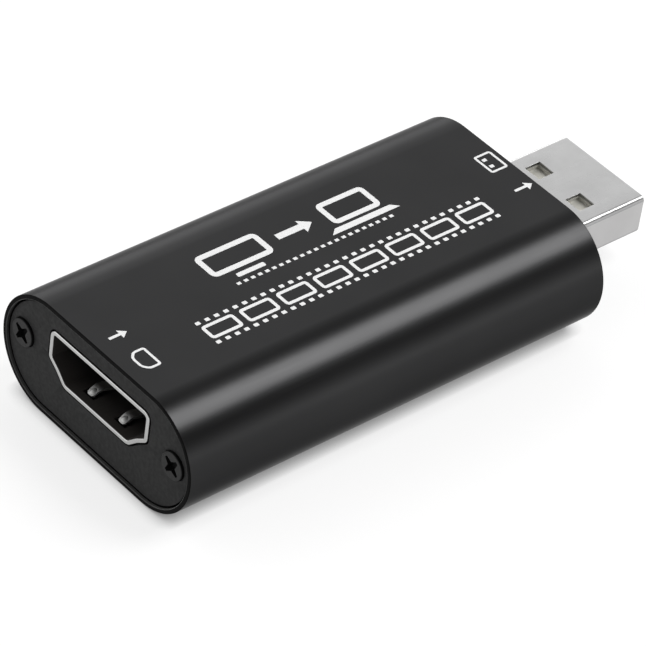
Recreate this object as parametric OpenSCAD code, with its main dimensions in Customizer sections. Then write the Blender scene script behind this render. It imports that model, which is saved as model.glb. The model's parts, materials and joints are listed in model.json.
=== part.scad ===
// Video capture box: an extruded metal sleeve with a plate screwed into each end, a video socket
// in the input plate and a data plug through the output plate, both soldered to one circuit board.
// Millimetres. X runs from the socket end to the plug's tip, Y across, Z up from the resting face.
// The origin is under the middle of the whole length, on the resting face.

/* [Sleeve] */
// Length of the sleeve
sleeve_len = 52; // [48:0.5:70]
// Width of the sleeve
sleeve_w = 28; // [26:0.5:34]
// Height of the sleeve, which is also the diameter of its round sides
sleeve_h = 12.8; // [12:0.1:16]
// Wall of the extrusion
sleeve_wall = 1.2; // [0.9:0.1:1.5]
// Thin rim of the wall left around each end plate
rim_t = 0.5; // [0.4:0.05:0.7]
// Radius of the ports that take the screws
port_r = 1.9; // [1.5:0.1:2.2]
// Grip of the board slots on each edge of the board
slot_grip = 0.9; // [0.6:0.1:1.2]
// Ledge under each edge of the board
slot_ledge = 0.9; // [0.6:0.1:1.2]

/* [End plates] */
// Thickness of an end plate
plate_t = 1.5; // [1.2:0.1:2]
// How far an end plate lies below the sleeve's end
plate_recess = 0.3; // [0.2:0.05:0.5]

/* [Screws] */
// From the sleeve's side to a screw's axis
screw_inset = 2.8; // [2.5:0.1:3.4]
// Height of the screws above the middle of the sleeve
screw_rise = 0.6; // [-0.6:0.1:0.8]
// Diameter of a screw's head
screw_head_d = 3; // [2.6:0.1:3.4]
// Height of a screw's head
screw_head_h = 0.9; // [0.8:0.05:1]
// Part of the head that stands proud of the plate
screw_proud = 0.3; // [0.2:0.05:0.4]
// Diameter of a screw's shank
screw_d = 1.6; // [1.4:0.1:1.8]
// Length of a screw's shank under its head
screw_len = 5; // [3.5:0.5:7]
// Tip to tip length of the cross recess
cross_span = 2.2; // [1.6:0.1:2.3]
// Width of an arm of the cross recess
cross_arm = 0.5; // [0.3:0.05:0.6]
// Depth of the cross recess
cross_depth = 0.6; // [0.3:0.05:0.65]
// Turn of the cross recess from level
cross_turn = 36; // [0:1:90]

/* [Circuit board] */
// Thickness of the board
board_t = 1.2; // [0.8:0.1:1.6]
// From the sleeve's side to the edge of the board
board_inset = 2.8; // [2.5:0.1:3.4]
// From the input plate to the end of the board
board_start = 0.2; // [0.1:0.05:0.6]

/* [Video socket] */
// Width of the socket's shell
socket_w = 14.4; // [13.6:0.1:15.2]
// Height of the socket's shell
socket_h = 5.2; // [5:0.1:5.8]
// Width of the flat at the bottom of the shell
socket_foot_w = 9.5; // [8:0.1:10]
// Upright part of the shell's sides
socket_side_h = 3.1; // [2.6:0.1:3.6]
// How far the slope between side and bottom flat is drawn in
socket_waist = 0.15; // [0:0.05:0.25]
// Length of the shell
socket_len = 11.6; // [11:0.1:13]
// Sheet metal of the shell and of its spring fingers
socket_wall = 0.3; // [0.2:0.05:0.4]
// How far the mouth flares out
mouth_flare = 0.15; // [0.05:0.05:0.25]
// Length of the flare
flare_len = 0.6; // [0.4:0.1:0.9]
// From the sleeve's end to the mouth
mouth_set_back = 0.2; // [0:0.05:0.25]
// Height of the socket's middle above the middle of the sleeve
socket_rise = 1.05; // [0.6:0.05:1.4]
// Width of the tongue that carries the contacts
tongue_w = 11.2; // [10.8:0.1:11.6]
// Thickness of the tongue
tongue_t = 1.3; // [1:0.1:1.5]
// From the mouth to the tongue
tongue_set_back = 2.4; // [2.2:0.1:3]
// Length of the tongue in front of its block
tongue_len = 6.2; // [5.6:0.1:6.6]
// Contacts on top of the tongue
upper_contacts = 10; // [8:1:10]
// Pitch of the contacts in one row
contact_pitch = 1; // [0.9:0.05:1.1]
// Width of a contact
contact_w = 0.3; // [0.2:0.02:0.36]
// Thickness of a contact
contact_t = 0.15; // [0.1:0.01:0.2]

/* [Spring fingers] */
// Width of a spring finger
finger_w = 1.3; // [1:0.1:1.6]
// Distance between the two fingers of a wall
finger_span = 4.7; // [4:0.1:5.2]
// Length of a finger from its root to its tip
finger_len = 3.3; // [3:0.1:3.8]
// Length of the turned down tip of a finger
finger_tip = 0.6; // [0.4:0.1:0.8]
// How far a finger's crown stands inside the wall
finger_rise = 0.4; // [0.3:0.05:0.55]
// How far the tip drops below the crown
finger_drop = 0.15; // [0.1:0.05:0.3]
// From the mouth to the tips of the lower fingers
lower_finger_start = 1.1; // [0.7:0.1:1.4]
// From the mouth to the tips of the upper fingers
upper_finger_start = 2.7; // [2.5:0.1:4]

/* [Data plug] */
// Width of the plug's shell
plug_w = 12; // [11:0.1:13]
// Height of the plug's shell
plug_h = 4.5; // [4.2:0.1:4.8]
// How far the plug stands out of the sleeve
plug_reach = 13.2; // [12:0.1:16]
// Length of the shell inside the sleeve
plug_hold = 5; // [4:0.1:6.5]
// Sheet metal of the shell
plug_wall = 0.3; // [0.2:0.05:0.4]
// Rounding along the shell's edges
plug_edge_r = 0.5; // [0.35:0.05:0.8]
// Depth of the plug's middle below the middle of the sleeve
plug_drop = 1.24; // [0.6:0.02:1.6]
// From the tip to the latch windows
window_start = 5.2; // [4.8:0.05:6]
// Length of a latch window
window_len = 2; // [1.6:0.05:2.4]
// Width of a latch window
window_w = 2.15; // [1.8:0.05:2.6]
// Distance between the middles of the two windows
window_span = 6; // [5.4:0.1:6.4]
// Thickness of the plug's tongue
plug_tongue_t = 1.9; // [1.6:0.1:2.1]
// From the tip to the plug's tongue
plug_tongue_set_back = 0.6; // [0.3:0.1:1]
// Depth of the hollows in the plug's tongue, behind the latch windows
window_hollow = 0.4; // [0.2:0.05:0.6]
// Depth of the plug's hollow
plug_depth = 11.9; // [11:0.1:12.5]
// Width of a plug contact
blade_w = 1; // [0.8:0.05:1.2]
// Thickness of a plug contact
blade_t = 0.2; // [0.15:0.05:0.3]

/* [Board parts] */
// Side of the capture chip
chip_w = 7; // [6:0.5:8]
// Height of the capture chip
chip_h = 0.85; // [0.7:0.05:1]
// Contacts along one side of the capture chip
chip_side_pads = 12; // [8:1:12]
// Length of the memory chip
memory_len = 4.9; // [4:0.1:5.4]
// Width of the memory chip
memory_w = 3.9; // [3.4:0.1:4.4]
// Height of the memory chip
memory_h = 1.5; // [1.2:0.1:1.8]
// Length of the crystal's can
crystal_len = 3.2; // [2.5:0.1:4]
// Width of the crystal's can
crystal_w = 2.5; // [2:0.1:3]
// Height of the crystal's can
crystal_h = 0.8; // [0.6:0.05:1]
// Length of the regulator
regulator_len = 2.9; // [2.5:0.1:3.4]
// Width of the regulator
regulator_w = 1.6; // [1.3:0.1:1.9]
// Height of the regulator
regulator_h = 1.1; // [0.9:0.05:1.3]
// Side of the power coil
coil_w = 4; // [3:0.1:4.6]
// Height of the power coil
coil_h = 1.8; // [1.2:0.1:2.4]
// Length of a small chip part
small_len = 1.6; // [1.2:0.1:1.8]
// Width of a small chip part
small_w = 0.8; // [0.6:0.05:1]
// Height of a capacitor
capacitor_h = 0.8; // [0.6:0.05:1]
// Height of a resistor
resistor_h = 0.45; // [0.35:0.05:0.6]
// Length of a surge protector
surge_len = 2.5; // [2:0.1:3]
// Width of a surge protector
surge_w = 1; // [0.8:0.05:1.3]
// Height of a surge protector
surge_h = 0.5; // [0.4:0.05:0.7]

/* [Hidden] */
$fn = 64;

// Clearances
plate_gap = 0.2;
cutout_gap = 0.2;
board_gap = 0.1;
screw_gap = 0.05;
screw_pass_gap = 0.2;
leg_gap = 0.2;
finger_side_gap = 0.15;
finger_root_gap = 0.02;
insulator_gap = 0.05;
contact_gap = 0.05;
board_end_gap = 0.15;
// Extra length that carries a cut past a surface
past = 1;

// Main stations along the length
total_len = sleeve_len + plug_reach;
x_in = -total_len / 2;
x_out = x_in + sleeve_len;
x_tip = total_len / 2;
seat_depth = plate_recess + plate_t;
mouth_x = x_in + mouth_set_back;
socket_rear = mouth_x + socket_len;
plug_rear = x_out - plug_hold;
board_x0 = x_in + seat_depth + board_start;
board_x1 = plug_rear - board_end_gap;

// Chamfer around the top of a screw's head
screw_edge = 0.2;

// Main heights
mid_z = sleeve_h / 2;
screw_z = mid_z + screw_rise;
socket_z = mid_z + socket_rise;
socket_floor = socket_z - socket_h / 2;
socket_roof = socket_z + socket_h / 2;
plug_z = mid_z - plug_drop;
board_top = socket_floor;
board_bottom = board_top - board_t;

// Places across the width
screw_y = sleeve_w / 2 - screw_inset;
board_w = sleeve_w - 2 * board_inset;

// Legs that solder a connector to the board
leg_w = 1.2;
leg_tail = 0.5;
socket_leg_depth = [4.4, 9.4];
socket_leg_x = [for (depth = socket_leg_depth) mouth_x + depth];
socket_leg_overlap = 1;
plug_ear_len = 2.4;
plug_ear_h = 1.5;
plug_ear_floor = max(plug_z, board_top + leg_gap);
plug_leg_x = plug_rear - plug_ear_len + leg_w / 2;

// Socket contacts
foot_len = 0.9;
tail_back = 0.35;
tail_x = socket_rear + tail_back;
contact_back = 0.5;
contact_start = tongue_set_back + contact_back;
block_x = mouth_x + tongue_set_back + tongue_len;
tongue_top = socket_z + tongue_t / 2;
tongue_bottom = socket_z - tongue_t / 2;

// Plug tongue and contacts
plug_roof = plug_z + plug_h / 2;
plug_tongue_low = plug_roof - plug_wall - plug_tongue_t;
blade_y = [-3.5, -1, 1, 3.5];
blade_start = [1.3, 2.3, 2.3, 1.3];
blade_crank = 1.5;
blade_bend = 0.4;
blade_slope = 0.5;
blade_foot = 1.2;
blade_tail_end = plug_rear - blade_bend - blade_slope - blade_foot;

// Middle of the board's free stretch, between the tails of the two connectors
free_x = (tail_x + foot_len + blade_tail_end) / 2;

// Layout of the board parts from the middle of the free stretch
chip_at = [-1, 0];
memory_at = [-8, 4.6];
crystal_at = [-7.5, -5.2];
regulator_at = [7.6, 5];
coil_at = [7.8, -4.4];
capacitor_row_x = [-4, -1.6, 0.8];
capacitor_row_y = 6.4;
capacitor_column_x = 4.6;
capacitor_column_y = [-1.6, 0, 1.6];
capacitor_at = [
  for (side = [-1, 1], x = capacitor_row_x) [x, side * capacitor_row_y],
  for (y = capacitor_column_y) [capacitor_column_x, y]
];
resistor_row_x = [-10.4, -8];
resistor_row_y = 0.8;
resistor_column_x = 8;
resistor_column_y = [-1.2, 0, 1.2];
resistor_at = [
  for (side = [-1, 1], x = resistor_row_x) [x, side * resistor_row_y],
  for (y = resistor_column_y) [resistor_column_x, y]
];
surge_y = 5;
pad_h = 0.2;
pad_w = 0.25;
pad_len = 0.5;
pad_pitch = 0.5;
thermal_pad_w = 4.6;
lead_t = 0.2;
lead_w = 0.4;
lead_out = 0.3;
lead_foot = 0.6;
memory_side_leads = 4;
memory_lead_pitch = 1.27;
regulator_lead_pitch = 0.95;
stand_off = 0.1;
end_cap_len = 0.3;
end_cap_proud = 0.03;

// Steps along one rounded corner, and the least radius of a corner
corner_steps = 6;
least_r = 0.1;

function unit(v) = v / norm(v);

// Inward side of the edge from a to b of an outline that runs anticlockwise
function inward(a, b) = let (d = unit(b - a)) [-d[1], d[0]];

// Outline with every edge moved inwards by t, or outwards where t is negative
function inset(points, t) = let (n = len(points)) [
  for (i = [0 : n - 1])
    let (
      before = inward(points[(i + n - 1) % n], points[i]),
      after = inward(points[i], points[(i + 1) % n])
    )
    points[i] + (before + after) * t / (1 + before * after)
];

// Points of the arc of radius r that rounds the corner at b
function corner_arc(a, b, c, r) = let (
  u = unit(a - b),
  w = unit(c - b),
  half = acos(u * w) / 2,
  centre = b + unit(u + w) * r / sin(half),
  from = b + u * r / tan(half) - centre,
  to = b + w * r / tan(half) - centre,
  start = atan2(from[1], from[0]),
  sweep = (atan2(to[1], to[0]) - start + 540) % 360 - 180
) [
  for (i = [0 : corner_steps])
    let (angle = start + sweep * i / corner_steps)
    centre + r * [cos(angle), sin(angle)]
];

// Outline with each corner rounded by its own radius
function rounded(points, radii) = let (n = len(points)) [
  for (i = [0 : n - 1])
    each corner_arc(points[(i + n - 1) % n], points[i], points[(i + 1) % n], radii[i])
];

// Side of the segment from a to b, for one of a path's points
function side_of(path, i) = let (d = unit(path[i + 1] - path[i])) [-d[1], d[0]];

// Half of a bent strip's outline, half a thickness to one side of its path
function strip_side(path, reach) = let (last = len(path) - 1) [
  for (i = [0 : last])
    let (
      before = side_of(path, max(i - 1, 0)),
      after = side_of(path, min(i, last - 1))
    )
    path[i] + (before + after) * reach / (1 + before * after)
];

// Outline of a strip of thickness t bent along a path
function strip(path, t) = let (
  left = strip_side(path, t / 2),
  right = strip_side(path, -t / 2),
  last = len(path) - 1
) concat(left, [for (i = [last : -1 : 0]) right[i]]);

// Corners of the socket's outline, wide at the top, with a waist where it draws in to its flat
function socket_half() = [
  [socket_foot_w / 2, socket_floor],
  [(socket_foot_w + socket_w) / 4, (socket_floor + socket_roof - socket_side_h) / 2 + socket_waist],
  [socket_w / 2, socket_roof - socket_side_h],
  [socket_w / 2, socket_roof]
];
function socket_corners() = let (half = socket_half(), last = len(half) - 1) concat(
  half,
  [for (i = [last : -1 : 0]) [-half[i][0], half[i][1]]]
);

// Rounding of the socket's corners, at its outer face, for one half and then the other
socket_half_r = [0.9, 1.2, 0.5, 0.65];
socket_corner_r = concat(socket_half_r, [for (i = [len(socket_half_r) - 1 : -1 : 0]) socket_half_r[i]]);

// Socket outline moved inwards by t, with the roundings that keep the wall even
function socket_outline(t) =
  rounded(inset(socket_corners(), t), [for (r = socket_corner_r) max(r - t, least_r)]);

// Plug outline moved inwards by t
function plug_outline(t) = let (
  half_w = plug_w / 2 - t,
  half_h = plug_h / 2 - t
) rounded([
  [-half_w, plug_z - half_h],
  [half_w, plug_z - half_h],
  [half_w, plug_z + half_h],
  [-half_w, plug_z + half_h]
], [for (i = [0 : 3]) max(plug_edge_r - t, least_r)]);

// Draws an outline across the part, from station x over a length
module along_x(x, length) {
  translate([x, 0, 0])
    rotate([90, 0, 90])
      linear_extrude(length)
        children();
}

// Draws an outline of the part's side view, w wide about the middle
module along_y(w) {
  rotate([90, 0, 0])
    linear_extrude(w, center = true)
      children();
}

// Box with its corner at the low end of each range
module block(x, y, z) {
  translate([x[0], y[0], z[0]])
    cube([x[1] - x[0], y[1] - y[0], z[1] - z[0]]);
}

// Flat outline with round sides, centred on the sleeve's axis
module stadium(w, h) {
  translate([0, mid_z]) {
    square([w - h, h], center = true);
    for (side = [-1, 1])
      translate([side * (w - h) / 2, 0])
        circle(d = h);
  }
}

// Places its children at both screws of an end plate
module at_screws() {
  for (side = [-1, 1])
    translate([side * screw_y, screw_z])
      children();
}

// Ports for the screws and walls of the board slots, inside the sleeve
module sleeve_ribs() {
  at_screws()
    circle(r = port_r);
  for (side = [-1, 1])
    translate([side * (board_w / 2 - slot_grip + sleeve_w / 2), 0])
      translate([-sleeve_w / 2, board_bottom - board_gap - slot_ledge])
        square([sleeve_w, screw_z - board_bottom + board_gap + slot_ledge]);
}

module sleeve_section() {
  difference() {
    stadium(sleeve_w, sleeve_h);
    difference() {
      stadium(sleeve_w - 2 * sleeve_wall, sleeve_h - 2 * sleeve_wall);
      sleeve_ribs();
    }
    translate([0, (board_top + board_bottom) / 2])
      square([board_w + 2 * board_gap, board_t + 2 * board_gap], center = true);
  }
}

// Metal extrusion, opened out at both ends to seat the plates
module outer_sleeve() {
  color("#2b2b2c")
    difference() {
      along_x(x_in, sleeve_len)
        sleeve_section();
      for (x = [x_in - past, x_out - seat_depth])
        along_x(x, seat_depth + past)
          stadium(sleeve_w - 2 * rim_t, sleeve_h - 2 * rim_t);
      along_x(x_in - past, sleeve_len + 2 * past)
        at_screws()
          circle(d = screw_d + 2 * screw_gap);
    }
}

// Plate with its two screw holes, each with a pocket on the outer face for the head
module plate_blank(x, outer_x) {
  pocket = screw_head_h - screw_proud;
  difference() {
    along_x(x, plate_t)
      stadium(sleeve_w - 2 * (rim_t + plate_gap), sleeve_h - 2 * (rim_t + plate_gap));
    along_x(x - past, plate_t + 2 * past)
      at_screws()
        circle(d = screw_d + 2 * screw_pass_gap);
    along_x(outer_x - pocket, 2 * pocket)
      at_screws()
        circle(d = screw_head_d + 2 * screw_gap);
  }
}

module input_end_plate() {
  face = x_in + plate_recess;
  color("#2c2c2c")
    difference() {
      plate_blank(face, face);
      along_x(face - past, plate_t + 2 * past)
        polygon(socket_outline(-mouth_flare - cutout_gap));
    }
}

module output_end_plate() {
  face = x_out - plate_recess;
  color("#2c2c2c")
    difference() {
      plate_blank(face - plate_t, face);
      along_x(face - plate_t - past, plate_t + 2 * past)
        polygon(plug_outline(-cutout_gap));
    }
}

// Screw along Z with its head's top at the origin and its shank below
module plate_screw() {
  difference() {
    union() {
      translate([0, 0, -screw_edge])
        cylinder(h = screw_edge, d1 = screw_head_d, d2 = screw_head_d - 2 * screw_edge);
      translate([0, 0, -screw_head_h])
        cylinder(h = screw_head_h - screw_edge, d = screw_head_d);
      translate([0, 0, -screw_head_h - screw_len])
        cylinder(h = screw_len + screw_edge, d = screw_d);
    }
    rotate(cross_turn)
      for (turn = [0, 90])
        rotate(turn)
          translate([0, 0, -cross_depth])
            translate([-cross_span / 2, -cross_arm / 2, 0])
              cube([cross_span, cross_arm, cross_depth + past]);
  }
}

module input_plate_screws() {
  color("#262626")
    for (side = [-1, 1])
      translate([x_in + plate_recess - screw_proud, side * screw_y, screw_z])
        rotate([0, -90, 0])
          plate_screw();
}

module output_plate_screws() {
  color("#262626")
    for (side = [-1, 1])
      translate([x_out - plate_recess + screw_proud, side * screw_y, screw_z])
        rotate([0, 90, 0])
          plate_screw();
}

// Places its children at the middle of each leg's slot in the board
module at_board_legs() {
  for (side = [-1, 1]) {
    for (x = socket_leg_x)
      translate([x, side * (socket_w - socket_wall) / 2])
        children(0);
    translate([plug_leg_x, side * (plug_w - plug_wall) / 2])
      children(1);
  }
}

module circuit_board() {
  color("#1f5a36")
    difference() {
      block([board_x0, board_x1], [-board_w / 2, board_w / 2], [board_bottom, board_top]);
      translate([0, 0, board_bottom - past])
        linear_extrude(board_t + 2 * past)
          at_board_legs() {
            square([leg_w + 2 * leg_gap, socket_wall + 2 * leg_gap], center = true);
            square([leg_w + 2 * leg_gap, plug_wall + 2 * leg_gap], center = true);
          }
    }
}

// Roots of the spring fingers, which are also their hinge lines
finger_root_back = socket_wall / 2 + finger_root_gap;
lower_root_x = mouth_x + lower_finger_start + finger_len;
upper_root_x = mouth_x + upper_finger_start + finger_len;

// Slot that frees a spring finger in the lower or upper wall
module finger_slots() {
  half_w = finger_w / 2 + finger_side_gap;
  for (side = [-1, 1]) {
    y = side * finger_span / 2;
    block(
      [lower_root_x - finger_len - finger_side_gap, lower_root_x + finger_root_back],
      [y - half_w, y + half_w],
      [socket_floor - past, socket_floor + socket_wall + finger_side_gap]
    );
    block(
      [upper_root_x - finger_len - finger_side_gap, upper_root_x + finger_root_back],
      [y - half_w, y + half_w],
      [socket_roof - socket_wall - finger_side_gap, socket_roof + past]
    );
  }
}

// Folded metal shell with a flared mouth and four legs through the board
module socket_shell() {
  leg_top = socket_roof - socket_side_h + socket_leg_overlap;
  color("#c4c4c4")
    union() {
      difference() {
        union() {
          along_x(mouth_x, socket_len)
            polygon(socket_outline(0));
          along_x(mouth_x, flare_len)
            polygon(socket_outline(-mouth_flare));
        }
        along_x(mouth_x - past, socket_len + 2 * past)
          polygon(socket_outline(socket_wall));
        finger_slots();
      }
      for (side = [-1, 1], x = socket_leg_x)
        translate([x, side * (socket_w - socket_wall) / 2, (leg_top + board_bottom - leg_tail) / 2])
          cube([leg_w, socket_wall, leg_top - board_bottom + leg_tail], center = true);
    }
}

// Middles of the contacts of one row, across the tongue
function row_y(count) = [for (i = [0 : count - 1]) (i - (count - 1) / 2) * contact_pitch];

// Tongue and block that hold the contacts, with a channel for each contact
module socket_insulator() {
  channel_w = contact_w + 2 * contact_gap;
  color("#1a1a1a")
    difference() {
      union() {
        along_x(block_x, socket_rear - block_x)
          polygon(socket_outline(socket_wall + insulator_gap));
        block(
          [mouth_x + tongue_set_back, block_x + past],
          [-tongue_w / 2, tongue_w / 2],
          [tongue_bottom, tongue_top]
        );
      }
      for (y = row_y(upper_contacts))
        block(
          [block_x - past, socket_rear + past],
          [y - channel_w / 2, y + channel_w / 2],
          [tongue_top, tongue_top + contact_t + contact_gap]
        );
      for (y = row_y(upper_contacts - 1))
        block(
          [block_x - past, socket_rear + past],
          [y - channel_w / 2, y + channel_w / 2],
          [tongue_bottom - contact_t - contact_gap, tongue_bottom]
        );
    }
}

// Row of contacts that lie along the tongue at height z, drop behind the block and end on the board
module contact_row(count, z) {
  foot_z = board_top + contact_t / 2;
  path = [
    [mouth_x + contact_start, z],
    [tail_x, z],
    [tail_x, foot_z],
    [tail_x + foot_len, foot_z]
  ];
  color("#d0b060")
    for (y = row_y(count))
      translate([0, y, 0])
        along_y(contact_w)
          polygon(strip(path, contact_t));
}

module socket_upper_contacts() {
  contact_row(upper_contacts, tongue_top + contact_t / 2);
}

module socket_lower_contacts() {
  contact_row(upper_contacts - 1, tongue_bottom - contact_t / 2);
}

// Spring finger along -X from its hinge line at the origin, with its crown up
module spring_finger() {
  crown = [finger_tip - finger_len, finger_rise];
  path = [[0, 0], crown, [-finger_len, finger_rise - finger_drop]];
  r = socket_wall / 2;
  lean = atan2(crown[1], -crown[0]);
  root = [
    for (i = [1 : corner_steps - 1])
      let (angle = i * 180 / corner_steps + lean)
      r * [sin(angle), cos(angle)]
  ];
  color("#d8d8d8")
    along_y(finger_w)
      polygon(concat(root, strip(path, socket_wall)));
}

// Lower finger on one side of the middle
module lower_finger(side) {
  translate([lower_root_x, side * finger_span / 2, socket_floor + socket_wall / 2])
    spring_finger();
}

// Upper finger on one side of the middle, turned over
module upper_finger(side) {
  translate([upper_root_x, side * finger_span / 2, socket_roof - socket_wall / 2])
    mirror([0, 0, 1])
      spring_finger();
}

module lower_left_spring_finger() {
  lower_finger(1);
}

module lower_right_spring_finger() {
  lower_finger(-1);
}

module upper_left_spring_finger() {
  upper_finger(1);
}

module upper_right_spring_finger() {
  upper_finger(-1);
}

// Folded metal shell with latch windows above and below, and two ears with legs through the board
module plug_shell() {
  color("#b8b8b8")
    union() {
      difference() {
        along_x(plug_rear, x_tip - plug_rear)
          polygon(plug_outline(0));
        along_x(plug_rear - past, x_tip - plug_rear + 2 * past)
          polygon(plug_outline(plug_wall));
        for (side = [-1, 1])
          translate([x_tip - window_start - window_len / 2, side * window_span / 2, plug_z])
            cube([window_len, window_w, plug_h + 2 * past], center = true);
      }
      for (side = [-1, 1])
        translate([0, side * (plug_w - plug_wall) / 2, 0]) {
          block(
            [plug_rear - plug_ear_len, plug_rear + past],
            [-plug_wall / 2, plug_wall / 2],
            [plug_ear_floor, plug_ear_floor + plug_ear_h]
          );
          block(
            [plug_leg_x - leg_w / 2, plug_leg_x + leg_w / 2],
            [-plug_wall / 2, plug_wall / 2],
            [board_bottom - leg_tail, plug_ear_floor + plug_ear_h]
          );
        }
    }
}

// Plug tongue along the roof of the shell, and the block behind the hollow
module plug_insulator() {
  inner = plug_wall + insulator_gap;
  color("#c8c6bd")
    difference() {
      along_x(plug_rear, x_tip - plug_tongue_set_back - plug_rear)
        polygon(plug_outline(inner));
      block(
        [x_tip - plug_depth, x_tip + past],
        [-plug_w, plug_w],
        [plug_z - plug_h, plug_tongue_low]
      );
      for (y = blade_y)
        block(
          [plug_rear - past, x_tip - plug_depth + past],
          [y - blade_w / 2 - contact_gap, y + blade_w / 2 + contact_gap],
          [plug_tongue_low - blade_t - contact_gap, max(plug_tongue_low, board_top + blade_t)]
        );
      for (side = [-1, 1])
        translate([x_tip - window_start - window_len / 2, side * window_span / 2, plug_roof - inner])
          cube([window_len, window_w, 2 * window_hollow], center = true);
    }
}

// Four flat contacts under the plug's tongue, cranked in the block where the board lies higher,
// with their tails on the board
module plug_contacts() {
  z = plug_tongue_low - blade_t / 2;
  foot_z = board_top + blade_t / 2;
  tail_z = max(z, foot_z);
  color("#d0b060")
    for (i = [0 : len(blade_y) - 1])
      translate([0, blade_y[i], 0])
        along_y(blade_w)
          polygon(strip([
            [x_tip - blade_start[i], z],
            [plug_rear + blade_crank, z],
            [plug_rear + blade_crank - blade_slope, tail_z],
            [plug_rear - blade_bend, tail_z],
            [plug_rear - blade_bend - blade_slope, foot_z],
            [blade_tail_end, foot_z]
          ], blade_t));
}

// Puts its children on the board, at a place counted from the middle of the free stretch
module on_board(place) {
  translate([free_x + place[0], place[1], board_top])
    children();
}

// Box that stands on the plane below it, centred on the vertical axis
module standing_box(x, y, z, lift = 0) {
  translate([-x / 2, -y / 2, lift])
    cube([x, y, z - lift]);
}

module capture_chip() {
  color("#202022")
    on_board(chip_at)
      standing_box(chip_w, chip_w, chip_h, pad_h);
}

// Contacts along the four sides under the capture chip, and the large one in the middle
module capture_chip_pads() {
  color("#d8d8d0")
    on_board(chip_at) {
      standing_box(thermal_pad_w, thermal_pad_w, pad_h);
      for (turn = [0 : 90 : 270])
        rotate(turn)
          for (i = [0 : chip_side_pads - 1])
            translate([(i - (chip_side_pads - 1) / 2) * pad_pitch, (chip_w - pad_len) / 2, 0])
              standing_box(pad_w, pad_len, pad_h);
    }
}

// Row of bent leads down one side of a package, from half its width at height z
module lead_row(count, pitch, half_w, z) {
  path = [
    [half_w, z],
    [half_w + lead_out, z],
    [half_w + lead_out, lead_t / 2],
    [half_w + lead_out + lead_foot, lead_t / 2]
  ];
  for (i = [0 : count - 1])
    translate([(i - (count - 1) / 2) * pitch, 0, 0])
      rotate(90)
        along_y(lead_w)
          polygon(strip(path, lead_t));
}

module memory_chip() {
  color("#202022")
    on_board(memory_at)
      standing_box(memory_len, memory_w, memory_h, stand_off);
}

module memory_chip_leads() {
  color("#c8c8c8")
    on_board(memory_at)
      for (turn = [0, 180])
        rotate(turn)
          lead_row(memory_side_leads, memory_lead_pitch, memory_w / 2, memory_h / 2);
}

module crystal() {
  color("#c8c8c4")
    on_board(crystal_at)
      standing_box(crystal_len, crystal_w, crystal_h);
}

module voltage_regulator() {
  color("#202022")
    on_board(regulator_at)
      standing_box(regulator_len, regulator_w, regulator_h, stand_off);
}

// Three leads on one side of the regulator and two on the other
module regulator_leads() {
  color("#c8c8c8")
    on_board(regulator_at) {
      lead_row(3, regulator_lead_pitch, regulator_w / 2, regulator_h / 2);
      rotate(180)
        lead_row(2, 2 * regulator_lead_pitch, regulator_w / 2, regulator_h / 2);
    }
}

module power_coil() {
  color("#3a3836")
    on_board(coil_at)
      standing_box(coil_w, coil_w, coil_h);
}

module ceramic_capacitors() {
  color("#a8845c")
    for (place = capacitor_at)
      on_board(place)
        standing_box(small_len - 2 * end_cap_len, small_w, capacitor_h, end_cap_proud);
}

// Metal caps at both ends of each capacitor
module capacitor_end_caps() {
  color("#c8c8c8")
    for (place = capacitor_at, side = [-1, 1])
      on_board(place)
        translate([side * (small_len - end_cap_len) / 2, 0, 0])
          standing_box(end_cap_len, small_w + 2 * end_cap_proud, capacitor_h + end_cap_proud);
}

module chip_resistors() {
  color("#26262a")
    for (place = resistor_at)
      on_board(place)
        standing_box(small_len, small_w, resistor_h);
}

// Two flat packages behind the socket's contacts
module surge_protectors() {
  color("#202022")
    for (side = [-1, 1])
      translate([tail_x + foot_len + surge_w, side * surge_y, board_top])
        standing_box(surge_w, surge_len, surge_h);
}

outer_sleeve();
input_end_plate();
output_end_plate();
input_plate_screws();
output_plate_screws();
circuit_board();
socket_shell();
socket_insulator();
socket_upper_contacts();
socket_lower_contacts();
lower_left_spring_finger();
lower_right_spring_finger();
upper_left_spring_finger();
upper_right_spring_finger();
plug_shell();
plug_insulator();
plug_contacts();
capture_chip();
capture_chip_pads();
memory_chip();
memory_chip_leads();
crystal();
voltage_regulator();
regulator_leads();
power_coil();
ceramic_capacitors();
capacitor_end_caps();
chip_resistors();
surge_protectors();
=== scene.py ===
# %% [markdown]
# # A pocket video capture box
# The real thing is a flat-topped black metal sleeve with a plate screwed into each end. A video socket
# looks out of one plate, and a data plug stands out of the other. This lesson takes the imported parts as
# a fixed frame. It models the pieces that the eye meets once more, with the rounded edges and folds of
# sheet metal, gives every surface a finish, and lights the whole like a catalogue picture.

# %% The fixed frame
import json
import math

import bmesh
import bpy
from bmesh.types import BMEdge, BMVert
from mathutils import Matrix, Vector


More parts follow.
